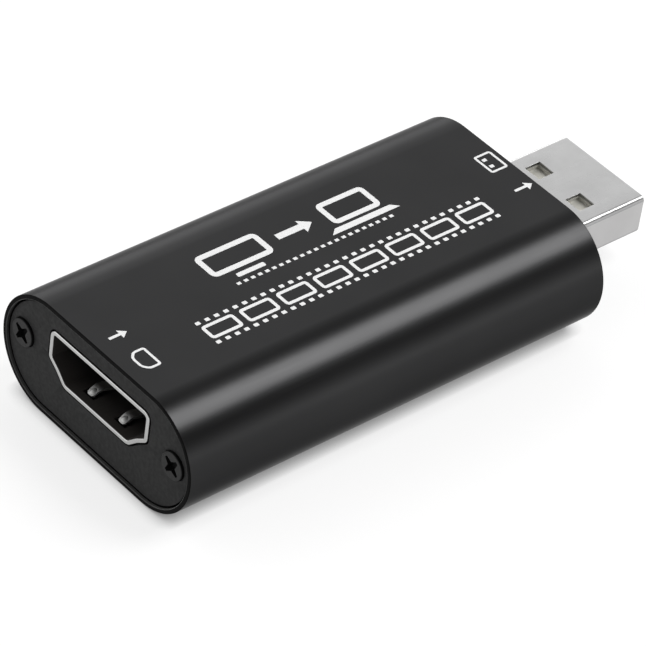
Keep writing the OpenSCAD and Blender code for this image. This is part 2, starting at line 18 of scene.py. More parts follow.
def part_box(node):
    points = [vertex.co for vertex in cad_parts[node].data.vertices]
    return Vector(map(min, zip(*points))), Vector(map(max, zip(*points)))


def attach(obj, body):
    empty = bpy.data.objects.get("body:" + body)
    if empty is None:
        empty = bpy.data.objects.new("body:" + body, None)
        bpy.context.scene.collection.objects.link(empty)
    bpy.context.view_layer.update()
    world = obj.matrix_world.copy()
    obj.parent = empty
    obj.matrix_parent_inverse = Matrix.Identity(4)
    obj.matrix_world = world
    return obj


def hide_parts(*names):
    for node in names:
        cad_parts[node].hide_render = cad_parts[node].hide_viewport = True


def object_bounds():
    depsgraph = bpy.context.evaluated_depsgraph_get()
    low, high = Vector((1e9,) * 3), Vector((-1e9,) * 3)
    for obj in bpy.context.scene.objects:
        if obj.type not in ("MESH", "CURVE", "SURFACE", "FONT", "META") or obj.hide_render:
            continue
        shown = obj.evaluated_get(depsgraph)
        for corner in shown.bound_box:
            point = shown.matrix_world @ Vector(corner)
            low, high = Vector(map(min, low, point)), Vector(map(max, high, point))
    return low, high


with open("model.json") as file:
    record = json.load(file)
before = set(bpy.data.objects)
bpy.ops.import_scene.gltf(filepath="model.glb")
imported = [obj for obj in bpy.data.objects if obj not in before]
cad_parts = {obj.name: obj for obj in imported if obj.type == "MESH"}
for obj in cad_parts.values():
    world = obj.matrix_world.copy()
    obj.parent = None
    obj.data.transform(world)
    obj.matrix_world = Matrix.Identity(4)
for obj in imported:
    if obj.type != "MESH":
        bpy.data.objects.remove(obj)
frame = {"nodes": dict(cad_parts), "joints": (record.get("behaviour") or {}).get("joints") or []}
cad_low, cad_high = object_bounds()
scene = bpy.context.scene
MM = 0.001
print("parts in the frame:", len(frame["nodes"]))
print("size in mm:", [round(side / MM, 2) for side in cad_high - cad_low])

# %% [markdown]
# ## The camera
# Catalogue pictures of small things are taken with a long lens from far off, which keeps long edges
# nearly parallel. The three turns and the distance below were fitted to the outline of sleeve and plug
# in the photograph, and to the edges of the socket end. One could also turn the camera by hand until
# the edges agree, but a fit is quicker and leaves less than half a pixel of error.

# %% Camera
AZIMUTH = math.radians(-45.824)
ELEVATION = math.radians(39.170)
ROLL = math.radians(8.491)
DISTANCE = 416.16 * MM
LENS = 240.85
SENSOR_WIDTH = 36.0
NEAR_CLIP = 10 * MM
AIM = Vector((-2.6, 0.0, 6.5)) * MM
AIM_SHIFT = Vector((-1.593, -2.968, 0.0)) * MM

back = Vector((math.sin(AZIMUTH), -math.cos(AZIMUTH), math.tan(ELEVATION))).normalized()
turn = back.to_track_quat("Z", "Y").to_matrix() @ Matrix.Rotation(ROLL, 3, "Z")
lens = bpy.data.cameras.new("long_lens")
lens.lens = LENS
lens.sensor_width = SENSOR_WIDTH
lens.clip_start = NEAR_CLIP
camera = bpy.data.objects.new("camera", lens)
camera.matrix_world = Matrix.Translation(AIM + turn @ AIM_SHIFT + back * DISTANCE) @ turn.to_4x4()
scene.collection.objects.link(camera)
scene.camera = camera
print("camera at mm:", [round(c / MM, 1) for c in camera.matrix_world.translation])

# %% [markdown]
# ## The studio
# A black satin object shows its lights more than its colour, so the studio is worked out backwards from
# the reflections. The bright stripe along the round side is a long softbox overhead. The grey of the
# flat top is a pale wall behind the set, the faint second stripe is the white horizon, and between the
# stripes the side mirrors a dark ceiling. Lamps could be moved about by eye, but each stripe's place on
# a round side tells how high its lamp hangs.

# %% World: white horizon and dark ceiling
CEILING_LEAN = math.radians(20)
BRIGHT_BELOW = 0.25
DARK_ABOVE = 0.725
HORIZON = 1.95
CEILING = 0.15

world = bpy.data.worlds.new("studio_room")
world.use_nodes = True
scene.world = world
room, wires = world.node_tree.nodes, world.node_tree.links
direction = room.new("ShaderNodeTexCoord")
height = room.new("ShaderNodeVectorMath")
height.operation = "DOT_PRODUCT"
height.inputs[1].default_value = (0, -math.sin(CEILING_LEAN), math.cos(CEILING_LEAN))
shade = room.new("ShaderNodeMapRange")
shade.interpolation_type = "SMOOTHSTEP"
shade.inputs["From Min"].default_value = BRIGHT_BELOW
shade.inputs["From Max"].default_value = DARK_ABOVE
shade.inputs["To Min"].default_value = HORIZON
shade.inputs["To Max"].default_value = CEILING
wires.new(direction.outputs["Generated"], height.inputs[0])
wires.new(height.outputs["Value"], shade.inputs["Value"])
wires.new(shade.outputs["Result"], room["Background"].inputs["Strength"])
room["Background"].inputs["Color"].default_value = (1, 1, 1, 1)
scene.view_settings.view_transform = "Standard"
print("world: from", HORIZON, "at the horizon to", CEILING, "overhead")

# %% Softboxes
LAMP_DISTANCE = 1.4
LAMP_SHIFT = 1.0
LAMP_LENGTH = 1.1


def softbox(name, angle, width, radiance):
    """Hangs a long lamp beside the box, at an angle up from the near side, looking at the box."""
    towards = Vector((0, -math.cos(math.radians(angle)), math.sin(math.radians(angle))))
    light = bpy.data.lights.new(name, "AREA")
    light.shape = "RECTANGLE"
    light.size = LAMP_LENGTH
    light.size_y = width
    light.energy = radiance * math.pi * LAMP_LENGTH * width
    lamp = bpy.data.objects.new(name, light)
    place = Matrix.Translation(towards * LAMP_DISTANCE + Vector((LAMP_SHIFT, 0, 0)))
    lamp.matrix_world = place @ towards.to_track_quat("Z", "Y").to_matrix().to_4x4()
    scene.collection.objects.link(lamp)
    print(name, round(light.energy, 1), "W")


softbox("overhead_softbox", angle=73.7, width=0.74, radiance=7.8)
softbox("back_panel", angle=172, width=0.7, radiance=2.3)

# %% [markdown]
# ## The floor
# The floor is a pale sheet that takes the box's soft shadow. A sheet that is lit by lamps alone never
# quite reaches white, so its material glows a little for every ray that looks at it straight, in a
# mirror or through glass. More lamps would do that too, but they would wash out the black coat. The
# sheet lies a hair below the box, so that the two faces never share a plane. Close to the box the glow
# is dimmed by ambient occlusion, which paints a tight contact shadow on the sheet.

# %% Floor
FLOOR_SIZE = 6.0
FLOOR_GRAY = 0.30
FLOOR_GLOW = 0.74
PAINTED_SHADOW_REACH = 1.6 * MM
FLOOR_DROP = 0.02 * MM

paper = bpy.data.materials.new("floor_paper")
paper.use_nodes = True
paper_nodes, paper_wires = paper.node_tree.nodes, paper.node_tree.links
sheet_shader = paper_nodes["Principled BSDF"]
sheet_shader.inputs["Base Color"].default_value = (FLOOR_GRAY, FLOOR_GRAY, FLOOR_GRAY, 1)
sheet_shader.inputs["Roughness"].default_value = 1.0
sheet_shader.inputs["Specular IOR Level"].default_value = 0.0
ray = paper_nodes.new("ShaderNodeLightPath")
seen = ray.outputs["Is Camera Ray"]
for kind in ("Is Glossy Ray", "Is Transmission Ray"):
    either = paper_nodes.new("ShaderNodeMath")
    either.operation = "MAXIMUM"
    paper_wires.new(seen, either.inputs[0])
    paper_wires.new(ray.outputs[kind], either.inputs[1])
    seen = either.outputs["Value"]
glow = paper_nodes.new("ShaderNodeMath")
glow.operation = "MULTIPLY"
glow.inputs[1].default_value = FLOOR_GLOW
paper_wires.new(seen, glow.inputs[0])
paper_wires.new(glow.outputs["Value"], sheet_shader.inputs["Emission Strength"])
# Painted shadow: ambient occlusion dims the floor's glow into a tight contact shadow by the box.
cover = paper_nodes.new("ShaderNodeAmbientOcclusion")
cover.inputs["Distance"].default_value = PAINTED_SHADOW_REACH
paper_wires.new(cover.outputs["Color"], sheet_shader.inputs["Emission Color"])

bm = bmesh.new()
bmesh.ops.create_grid(bm, x_segments=1, y_segments=1, size=FLOOR_SIZE / 2)
bmesh.ops.translate(bm, vec=(0, 0, cad_low.z - FLOOR_DROP), verts=bm.verts[:])
floor_mesh = bpy.data.meshes.new("floor")
bm.to_mesh(floor_mesh)
bm.free()
floor_mesh.materials.append(paper)
floor = bpy.data.objects.new("floor", floor_mesh)
scene.collection.objects.link(floor)
print("floor at mm:", round((cad_low.z - FLOOR_DROP) / MM, 3))

# %% [markdown]
# ## A small kit for finishes
# Every finish starts as one Principled shader, with its plain values set on the shader itself. What
# varies over the surface comes from noise that is read in the object's own coordinates, so it stays put
# when the part turns. Image textures would do too, but noise has no seams and no fixed resolution.

# %% Finish kit


class Finish:
    """A Principled material with the few moves that the finishes of this box share."""

    def __init__(self, name, color, roughness, metallic=0.0, specular=0.5, edge_tint=1.0):
        self.material = bpy.data.materials.new(name)
        self.material.use_nodes = True
        self.nodes = self.material.node_tree.nodes
        self.links = self.material.node_tree.links
        self.shader = self.nodes["Principled BSDF"]
        self.shader.inputs["Base Color"].default_value = (*color, 1)
        self.shader.inputs["Roughness"].default_value = roughness
        self.shader.inputs["Metallic"].default_value = metallic
        self.shader.inputs["Specular IOR Level"].default_value = specular
        self.shader.inputs["Specular Tint"].default_value = (edge_tint, edge_tint, edge_tint, 1)
        self.place = self.nodes.new("ShaderNodeTexCoord").outputs["Object"]
        print("finish:", name)

    def noise(self, grain, stretch=(1, 1, 1), detail=2.0):
        """Noise with features of that size in metres, drawn out along the axes by stretch."""
        squeeze = self.nodes.new("ShaderNodeMapping")
        squeeze.inputs["Scale"].default_value = [1 / (grain * s) for s in stretch]
        noise = self.nodes.new("ShaderNodeTexNoise")
        noise.inputs["Scale"].default_value = 1.0
        noise.inputs["Detail"].default_value = detail
        self.links.new(self.place, squeeze.inputs["Vector"])
        self.links.new(squeeze.outputs["Vector"], noise.inputs["Vector"])
        return noise.outputs["Fac"]

    def spread(self, source, low, high, start=0.3, end=0.7):
        """Stretches what lies between start and end to run from low to high."""
        node = self.nodes.new("ShaderNodeMapRange")
        node.inputs["From Min"].default_value = start
        node.inputs["From Max"].default_value = end
        node.inputs["To Min"].default_value = low
        node.inputs["To Max"].default_value = high
        self.links.new(source, node.inputs["Value"])
        return node.outputs["Result"]

    def roughen(self, source, low, high):
        """Lets the gloss vary between two roughnesses."""
        self.links.new(self.spread(source, low, high), self.shader.inputs["Roughness"])

    def cover(self, mask, color):
        """Lays another colour over the one so far where the mask is one."""
        base = self.shader.inputs["Base Color"]
        mix = self.nodes.new("ShaderNodeMix")
        mix.data_type = "RGBA"
        mix.inputs[6].default_value = base.default_value
        mix.inputs[7].default_value = (*color, 1)
        self.links.new(mask, mix.inputs[0])
        if base.is_linked:
            self.links.new(base.links[0].from_socket, mix.inputs[6])
        self.links.new(mix.outputs[2], base)

    def mottle(self, grain, color, start=0.3, end=0.7):
        """Lays another colour over the one so far in soft patches of that size in metres."""
        self.cover(self.spread(self.noise(grain), 0, 1, start, end), color)

    def along_box(self):
        """The place along the box in metres."""
        split = self.nodes.new("ShaderNodeSeparateXYZ")
        self.links.new(self.place, split.inputs["Vector"])
        return split.outputs["X"]

    def bump(self, source, depth, strength):
        """Raises the surface by depth in metres where the source is high."""
        node = self.nodes.new("ShaderNodeBump")
        node.inputs["Strength"].default_value = strength
        node.inputs["Distance"].default_value = depth
        self.links.new(source, node.inputs["Height"])
        self.links.new(node.outputs["Normal"], self.shader.inputs["Normal"])


# %% [markdown]
# ## The sleeve's finish
# The sleeve is extruded aluminium, blasted and dyed black. Such a skin mirrors like a very dark metal,
# and less so at a flat angle than bare metal does, which the edge tint says. Close up it has a fine
# grain, faint lines along its length that the die has left, and a dye that has not taken quite evenly.
# Grain goes into bump, lines into gloss, and the dye into colour. The end faces, and the seat wall behind
# the plate's front, get a nearly black finish with almost no gloss, which is painted shade. The milled
# strip of the seat in front of the plate is a matt grey.

# %% Sleeve finish
DYED = (0.030, 0.030, 0.0305)
DYED_PALE = (0.033, 0.033, 0.0335)
END_PAINTED_SHADE = (0.003, 0.003, 0.003)
END_PAINTED_SHADE_PALE = (0.0045, 0.0045, 0.0045)
MILLED = (0.040, 0.040, 0.039)
MILLED_PALE = (0.050, 0.050, 0.049)

sleeve_low, sleeve_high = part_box("outer_sleeve")
dyed_skin = Finish("dyed_aluminium", DYED, roughness=0.29, metallic=1.0, edge_tint=0.5)
die_lines = dyed_skin.noise(0.12 * MM, stretch=(60, 1, 1), detail=3)
dyed_skin.roughen(die_lines, 0.275, 0.305)
dyed_skin.mottle(9 * MM, DYED_PALE)
dyed_skin.bump(dyed_skin.noise(0.07 * MM), depth=0.003 * MM, strength=0.25)
# Painted shade: this nearly black, glossless finish goes on the end faces and the seat behind the plate.
painted_shade_end = Finish("painted_shade_end", END_PAINTED_SHADE, roughness=0.6, specular=0.03)
painted_shade_end.mottle(0.5 * MM, END_PAINTED_SHADE_PALE)
painted_shade_end.bump(painted_shade_end.noise(0.06 * MM), depth=0.004 * MM, strength=0.3)
milled_seat = Finish("milled_seat", MILLED, roughness=0.55, specular=0.2)
milled_seat.mottle(0.4 * MM, MILLED_PALE)
milled_seat.roughen(milled_seat.noise(0.05 * MM, stretch=(1, 6, 6)), 0.45, 0.65)

# %% [markdown]
# ## Drawing outlines
# Nearly every piece here is an outline carried along the box: the sleeve is an extrusion, and the
# connectors are folded strips. So the first tool is a pen that draws a line out of straight strokes and
# arcs, with a vertex spun round a centre for each arc. The plane of the drawing is Y across and Z up,
# and the third number is the station along X. One could place every point of an arc with sine and
# cosine, but spin keeps the drawing readable.

# %% Pen
ARC_STEP = math.radians(4)
TOUCH = 0.001 * MM
MERGE = TOUCH / 10


def verts_of(geom):
    """The vertices among what an operator has made."""
    return [item for item in geom if isinstance(item, BMVert)]


def to(y, z):
    """A straight stroke to a point."""
    return ("to", (y, z), 0.0)


def about(y, z, degrees):
    """An arc round a centre, anticlockwise where degrees are positive."""
    return ("about", (y, z), math.radians(degrees))


def draw(bm, x, start, *strokes, closed=True):
    """Draws an outline at station x and gives its edges."""
    known = set(bm.edges)
    first = tip = bmesh.ops.create_vert(bm, co=(*start, x))["vert"][0]
    for kind, place, angle in strokes:
        if kind == "to":
            tip = bmesh.ops.extrude_vert_indiv(bm, verts=[tip])["verts"][0]
            tip.co = (*place, x)
        else:
            steps = max(2, round(abs(angle) / ARC_STEP))
            spun = bmesh.ops.spin(
                bm, geom=[tip], cent=(*place, x), axis=(0, 0, 1), angle=angle, steps=steps
            )
            tip = verts_of(spun["geom_last"])[0]
    if closed and (tip.co - first.co).length < TOUCH:
        bmesh.ops.weld_verts(bm, targetmap={tip: first})
    elif closed:
        bm.edges.new((tip, first))
    return [edge for edge in bm.edges if edge not in known]


def stadium(bm, x, width, height, middle):
    """Draws a flat outline with fully round sides."""
    r = height / 2
    flat = width / 2 - r
    return draw(
        bm, x, (flat, middle - r),
        about(flat, middle, 180),
        to(-flat, middle + r),
        about(-flat, middle, 180),
    )


def circle(bm, x, y, z, diameter):
    """Draws a full circle."""
    return draw(bm, x, (y + diameter / 2, z), about(y, z, 180), about(y, z, 180))


# %% [markdown]
# ## From outlines to walls
# An outline becomes a wall when its edges are extruded, and walls become a closed solid when the space
# between outlines in one plane is filled. Holes need nothing special, because the fill leaves out what
# lies inside a second outline. At the end the drawing's axes are turned into the box's axes, and the
# normals are made to point outwards. The print for each piece shows open edges and volume, which are
# the quickest signs of a slip.

# %% Walls
SHARP = math.radians(35)


def wall(bm, loop, along, scale=1.0):
    """Extrudes an outline along X, grown or shrunk about the axis, and gives the new outline."""
    made = bmesh.ops.extrude_edge_only(bm, edges=loop)["geom"]
    verts = verts_of(made)
    bmesh.ops.translate(bm, vec=(0, 0, along), verts=verts)
    bmesh.ops.scale(bm, vec=(scale, scale, 1), verts=verts)
    return [item for item in made if isinstance(item, BMEdge)]


def fill(bm, *loops):
    """Fills the space between outlines that lie in one plane."""
    edges = [edge for loop in loops for edge in loop]
    bmesh.ops.triangle_fill(bm, use_beauty=True, use_dissolve=False, edges=edges, normal=(0, 0, 1))


def bridge(bm, first, second):
    """Joins two outlines of the same kind with a strip of faces."""
    bmesh.ops.bridge_loops(bm, edges=first + second)


def sharp_edges(bm, test):
    """Edges where two faces meet at a sharp angle and both ends pass the test."""
    return [
        edge for edge in bm.edges
        if len(edge.link_faces) == 2 and edge.calc_face_angle() > SHARP
        and all(test(vert.co) for vert in edge.verts)
    ]


def soften(bm, edges, width, segments=2):
    """Rounds edges over a width."""
    bmesh.ops.bevel(
        bm, geom=edges, offset=width, offset_type="OFFSET", segments=segments, profile=0.5,
        affect="EDGES", clamp_overlap=True, material=-1,
    )


def round_off(bm, corners, width, segments):
    """Rounds the corners of a line or a flat shape over a width."""
    bmesh.ops.bevel(
        bm, geom=corners, offset=width, offset_type="OFFSET", segments=segments, profile=0.5,
        affect="VERTICES", material=-1,
    )


def face_out(bm):
    """Turns every face outwards."""
    bmesh.ops.recalc_face_normals(bm, faces=bm.faces[:])


# %% Pieces
ACROSS = Matrix(((0, 0, 1, 0), (1, 0, 0, 0), (0, 1, 0, 0), (0, 0, 0, 1)))
UPRIGHT = Matrix.Identity(4)


def make_piece(bm, name, finishes, nodes=(), body="capture_box", axes=ACROSS):
    """Turns a finished drawing into a piece that rides on a body and stands for CAD nodes."""
    bmesh.ops.remove_doubles(bm, verts=bm.verts[:], dist=MERGE)
    bmesh.ops.transform(bm, matrix=axes, verts=bm.verts[:])
    face_out(bm)
    open_edges = sum(1 for edge in bm.edges if len(edge.link_faces) != 2)
    volume = bm.calc_volume(signed=True) / MM**3
    mesh = bpy.data.meshes.new(name)
    bm.to_mesh(mesh)
    bm.free()
    mesh.shade_smooth()
    mesh.set_sharp_from_angle(angle=SHARP)
    for finish in finishes:
        mesh.materials.append(finish.material)
    piece = bpy.data.objects.new(name, mesh)
    scene.collection.objects.link(piece)
    shading = piece.modifiers.new("even_shading", "WEIGHTED_NORMAL")
    shading.keep_sharp = True
    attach(piece, body)
    if nodes:
        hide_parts(*nodes)
    print(name, len(mesh.polygons), "faces,", open_edges, "open edges,", round(volume, 3), "mm3")


# %% [markdown]
# ## The sleeve
# The sleeve is one extrusion. Its section has a screw port on each side, and under each port a slot
# that the circuit board slides into. At both ends the inside is milled out to leave a thin rim around
# the plate. Half the section's inside is drawn and mirrored, and then half the length, because both
# sides and both ends are alike. The end edges are broken by less than a tenth of a millimetre, as
# blasting leaves them. Only the strip of the seat in front of the plate is grey. The end faces and the
# seat behind the plate's front are nearly black, which is painted shade.

# %% Sleeve sizes
RIM = 0.5 * MM
FIT = 0.1 * MM
PLATE_GAP = 0.2 * MM
SLEEVE_WALL = 1.2 * MM
PORT_R = 1.9 * MM
PORT_HOLE = 1.7 * MM
GRIP = 0.9 * MM
LEDGE = 0.9 * MM
EDGE_BREAK = 0.08 * MM


def whole(length, step=0.1 * MM):
    """A length read from a faceted part, put back to its nominal size."""
    return round(length / step) * step


plate_low, plate_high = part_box("input_end_plate")
screws_low, screws_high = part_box("input_plate_screws")
board_low, board_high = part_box("circuit_board")
sleeve_w = whole(sleeve_high.y - sleeve_low.y)
sleeve_h = whole(sleeve_high.z - sleeve_low.z)
sleeve_mid = (sleeve_high.z + sleeve_low.z) / 2
seat_depth = plate_high.x - sleeve_low.x
recess = plate_low.x - sleeve_low.x
head_d = whole(screws_high.z - screws_low.z)
screw_z = (screws_high.z + screws_low.z) / 2
screw_y = whole(screws_high.y - head_d / 2)
print("sleeve", [round(v / MM, 2) for v in (sleeve_w, sleeve_h, seat_depth, screw_y, screw_z, head_d)])

# %% Sleeve inside


def sleeve_inside(bm, x):
    """Draws the sleeve's inside, up the right half past board slot and screw port, and mirrored."""
    known = set(bm.edges)
    r = sleeve_h / 2 - SLEEVE_WALL
    flat = (sleeve_w - sleeve_h) / 2
    slot_low, slot_high = board_low.z - FIT, board_high.z + FIT
    ledge_z = slot_low - LEDGE
    grip_y = board_high.y - GRIP
    foot_angle = math.degrees(math.asin((ledge_z - sleeve_mid) / r))
    port_dip = math.asin((screw_y - grip_y) / PORT_R)
    reach = Vector((screw_y - flat, screw_z - sleeve_mid))
    lean = math.degrees(math.atan2(reach.y, reach.x))
    d = reach.length
    top_angle = lean + math.degrees(math.acos((r**2 + d**2 - PORT_R**2) / (2 * r * d)))
    port_end = 180 + lean - math.degrees(math.acos((PORT_R**2 + d**2 - r**2) / (2 * PORT_R * d)))
    port_start = 270 - math.degrees(port_dip)
    half = draw(
        bm, x, (0, sleeve_mid - r),
        to(flat, sleeve_mid - r),
        about(flat, sleeve_mid, 90 + foot_angle),
        to(grip_y, ledge_z),
        to(grip_y, slot_low),
        to(board_high.y + FIT, slot_low),
        to(board_high.y + FIT, slot_high),
        to(grip_y, slot_high),
        to(grip_y, screw_z - PORT_R * math.cos(port_dip)),
        about(screw_y, screw_z, port_end - port_start),
        about(flat, sleeve_mid, 90 - top_angle),
        to(0, sleeve_mid + r),
        closed=False,
    )
    verts = {vert for edge in half for vert in edge.verts}
    bmesh.ops.mirror(bm, geom=[*verts, *half], matrix=UPRIGHT, merge_dist=TOUCH, axis="X")
    return [edge for edge in bm.edges if edge not in known]


# %% Sleeve
half_len = (sleeve_high.x - sleeve_low.x) / 2
bm = bmesh.new()
outer = stadium(bm, -half_len, sleeve_w, sleeve_h, sleeve_mid)
rim = stadium(bm, -half_len, sleeve_w - 2 * RIM, sleeve_h - 2 * RIM, sleeve_mid)
bridge(bm, outer, rim)
wall(bm, outer, half_len)
seat_edge = wall(bm, wall(bm, rim, recess), seat_depth - recess)
bores = [sleeve_inside(bm, seat_depth - half_len)]
bores += [circle(bm, seat_depth - half_len, side * screw_y, screw_z, PORT_HOLE) for side in (-1, 1)]
fill(bm, seat_edge, *bores)
for bore in bores:
    wall(bm, bore, half_len - seat_depth)
bmesh.ops.mirror(
    bm, geom=bm.verts[:] + bm.edges[:] + bm.faces[:], matrix=UPRIGHT, merge_dist=TOUCH, axis="Z"
)
face_out(bm)
soften(bm, sharp_edges(bm, lambda co: abs(abs(co.z) - half_len) < TOUCH), EDGE_BREAK, segments=3)
# Index 2 is the seat's grey front strip; index 1 paints shade on the end faces and the seat behind the
# plate.
for face in bm.faces:
    middle = face.calc_center_median()
    depth = half_len - abs(middle.z)
    looks_in = face.normal.dot(Vector((-middle.x, sleeve_mid - middle.y, 0))) > TOUCH
    if looks_in and depth < recess:
        face.material_index = 2
    elif depth < EDGE_BREAK or looks_in and depth < seat_depth:
        face.material_index = 1
bmesh.ops.translate(bm, vec=(0, 0, (sleeve_high.x + sleeve_low.x) / 2), verts=bm.verts[:])
make_piece(bm, "sleeve", [dyed_skin, painted_shade_end, milled_seat], ["outer_sleeve"])

# %% [markdown]
# ## The end plates' finish
# The plates are moulded in black plastic with a matt, finely sparked face. It scatters light evenly, so
# it looks like a flat dark grey next to the satin sleeve. A fine grain in the bump breaks up the little
# gloss that is left.

# %% Plate finish
MOULDED_BLACK = (0.0125, 0.0125, 0.0125)
MOULDED_GRAY = (0.0145, 0.0145, 0.0145)

sparked_black = Finish("sparked_black", MOULDED_BLACK, roughness=0.68, specular=0.2)
sparked_black.mottle(1.5 * MM, MOULDED_GRAY)
sparked_black.roughen(sparked_black.noise(0.4 * MM), 0.6, 0.75)
sparked_black.bump(sparked_black.noise(0.08 * MM), depth=0.005 * MM, strength=0.2)

# %% [markdown]
# ## Rounded corners
# The openings in the plates follow the connectors, whose sections have straight sides and rounded
# corners. Such an outline starts as one flat face with sharp corners. Each corner is then rounded by a
# vertex bevel, which runs smoothly into both sides, and the face is taken out again so that only the
# line is left. Moving every side in or out by a wall's thickness gives the next outline of a folded
# shell.

# %% Corners
CORNER_SEGMENTS = 6
LEAST_R = 0.1 * MM


def moved_in(corners, distance):
    """The corners of an anticlockwise outline after every side has moved inwards."""
    moved = []
    for i, corner in enumerate(corners):
        before = (corner - corners[i - 1]).normalized().orthogonal()
        after = (corners[(i + 1) % len(corners)] - corner).normalized().orthogonal()
        moved.append(corner + (before + after) * distance / (1 + before.dot(after)))
    return moved


def rounded_outline(bm, x, corners, radii):
    """Draws an outline through corners, each rounded by its own radius, and gives its edges."""
    known, known_faces = set(bm.edges), set(bm.faces)
    verts = [bmesh.ops.create_vert(bm, co=(*corner, x))["vert"][0] for corner in corners]
    bm.faces.new(verts)
    for vert, radius in zip(verts, radii):
        sides = [edge.other_vert(vert).co - vert.co for edge in vert.link_edges]
        half_angle = sides[0].angle(sides[1]) / 2
        round_off(bm, [vert], max(radius, LEAST_R) / math.tan(half_angle), CORNER_SEGMENTS)
    sheet = [face for face in bm.faces if face not in known_faces]
    bmesh.ops.delete(bm, geom=sheet, context="FACES_ONLY")
    return [edge for edge in bm.edges if edge not in known]


# %% Connector outlines
SOCKET_FOOT = 4.75 * MM
SOCKET_SIDE = 3.1 * MM
SOCKET_WAIST = 0.15 * MM
FLARE = 0.15 * MM
SOCKET_R = [0.9 * MM, 1.2 * MM, 0.5 * MM, 0.65 * MM]
PLUG_R = 0.5 * MM
PLUG_H = 4.5 * MM

socket_low, socket_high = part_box("socket_shell")
plug_low, plug_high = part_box("plug_shell")
socket_half_w = socket_high.y - FLARE
socket_floor, socket_roof = board_high.z, socket_high.z - FLARE
knee_z = socket_roof - SOCKET_SIDE
socket_half = [
    Vector((SOCKET_FOOT, socket_floor)),
    Vector(((SOCKET_FOOT + socket_half_w) / 2, (socket_floor + knee_z) / 2 + SOCKET_WAIST)),
    Vector((socket_half_w, knee_z)),
    Vector((socket_half_w, socket_roof)),
]
socket_corners = socket_half + [Vector((-c.x, c.y)) for c in reversed(socket_half)]
plug_top, plug_floor = plug_high.z, plug_high.z - PLUG_H
plug_corners = [
    Vector((plug_low.y, plug_floor)),
    Vector((plug_high.y, plug_floor)),
    Vector((plug_high.y, plug_top)),
    Vector((plug_low.y, plug_top)),
]


def socket_outline(bm, x, inset):
    """Draws the video socket's outline, moved inwards."""
    radii = [r - inset for r in SOCKET_R + SOCKET_R[::-1]]
    return rounded_outline(bm, x, moved_in(socket_corners, inset), radii)


def plug_outline(bm, x, inset):
    """Draws the data plug's outline, moved inwards."""
    return rounded_outline(bm, x, moved_in(plug_corners, inset), [PLUG_R - inset] * len(plug_corners))


print("socket mm:", [round(v / MM, 2) for v in (socket_half_w, socket_floor, knee_z, socket_roof)])
print("plug mm:", [round(v / MM, 2) for v in (plug_high.y, plug_floor, plug_top)])

# %% [markdown]
# ## The end plates
# Each plate lies in the sleeve's milled end, a little below the rim, with an opening for its connector
# and a stepped hole for each screw head. One function makes both: the front is filled between the
# outlines, the outlines are pushed back as walls, and the back is filled again. The front edges get a
# small round, which catches a thin line of light around the openings.

# %% Plates
POCKET_D = head_d + FIT
PASS_D = 2.0 * MM
POCKET = 0.6 * MM
OPENING_GAP = 0.2 * MM
PLATE_EDGE = 0.07 * MM


def end_plate(name, node, inward, opening):
    """Makes a plate whose outer face looks against inward, with the connector's opening in it."""
    low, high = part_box(node)
    front = low.x if inward > 0 else high.x
    depth = inward * (high.x - low.x)
    pocket = inward * POCKET
    bm = bmesh.new()
    inset = RIM + PLATE_GAP
    edge = stadium(bm, front, sleeve_w - 2 * inset, sleeve_h - 2 * inset, sleeve_mid)
    hole = opening(bm, front)
    pockets = [circle(bm, front, side * screw_y, screw_z, POCKET_D) for side in (-1, 1)]
    fill(bm, edge, hole, *pockets)
    back_loops = [wall(bm, edge, depth), wall(bm, hole, depth)]
    for side, top in zip((-1, 1), pockets):
        step = circle(bm, front + pocket, side * screw_y, screw_z, PASS_D)
        fill(bm, wall(bm, top, pocket), step)
        back_loops.append(wall(bm, step, depth - pocket))
    fill(bm, *back_loops)
    face_out(bm)
    soften(bm, sharp_edges(bm, lambda co: abs(co.z - front) < TOUCH), PLATE_EDGE)
    make_piece(bm, name, [sparked_black], [node])


end_plate("input_plate", "input_end_plate", 1, lambda bm, x: socket_outline(bm, x, -FLARE - OPENING_GAP))
end_plate("output_plate", "output_end_plate", -1, lambda bm, x: plug_outline(bm, x, -OPENING_GAP))

# %% [markdown]
# ## The screws' finish
# The screws are steel, blackened in a hot bath. Their tops are about as dull as the plates, and wear
# grey where a driver has touched them. The recess and the sides of each head get a nearly black,
# nearly glossless finish, which is painted shade.

# %% Screw finish
BLACKENED = (0.011, 0.011, 0.011)
WORN_STEEL = (0.017, 0.017, 0.0165)
SCREW_PAINTED_SHADE = (0.003, 0.003, 0.003)

black_steel = Finish("blackened_steel", BLACKENED, roughness=0.5, specular=0.2)
black_steel.mottle(0.35 * MM, WORN_STEEL, start=0.55, end=0.85)
black_steel.roughen(black_steel.noise(0.2 * MM), 0.45, 0.58)
black_steel.bump(black_steel.noise(0.1 * MM), depth=0.004 * MM, strength=0.3)
# Painted shade for the star recess and the sides of the heads.
screw_painted_shade = Finish("screw_painted_shade", SCREW_PAINTED_SHADE, roughness=0.6, specular=0.05)
screw_painted_shade.roughen(screw_painted_shade.noise(0.1 * MM), 0.55, 0.7)

# %% [markdown]
# ## The screws
# A small cross-recess screw: a low head with a rounded rim, a star-shaped recess whose arms narrow
# outwards and whose walls slope, and a plain shank. The head's top is filled between its rim and the
# star, and the star is pushed in and shrunk for the sloping walls. A boolean cut would do it as well,
# but the walls of a pushed-in outline stay clean.

# %% Screws
HEAD_H = 0.9 * MM
HEAD_EDGE = 0.1 * MM
RIM_ROUND = 0.6 * HEAD_EDGE
SHANK_D = 1.6 * MM
SHANK_TIP = 0.3 * MM
STAR_R = 1.1 * MM
STAR_TIP = 0.16 * MM
STAR_NOTCH = 0.50 * MM
STAR_DEPTH = 0.6 * MM
STAR_TAPER = 0.75
STAR_TURN = 51
HEAD_SLOPE = 0.6


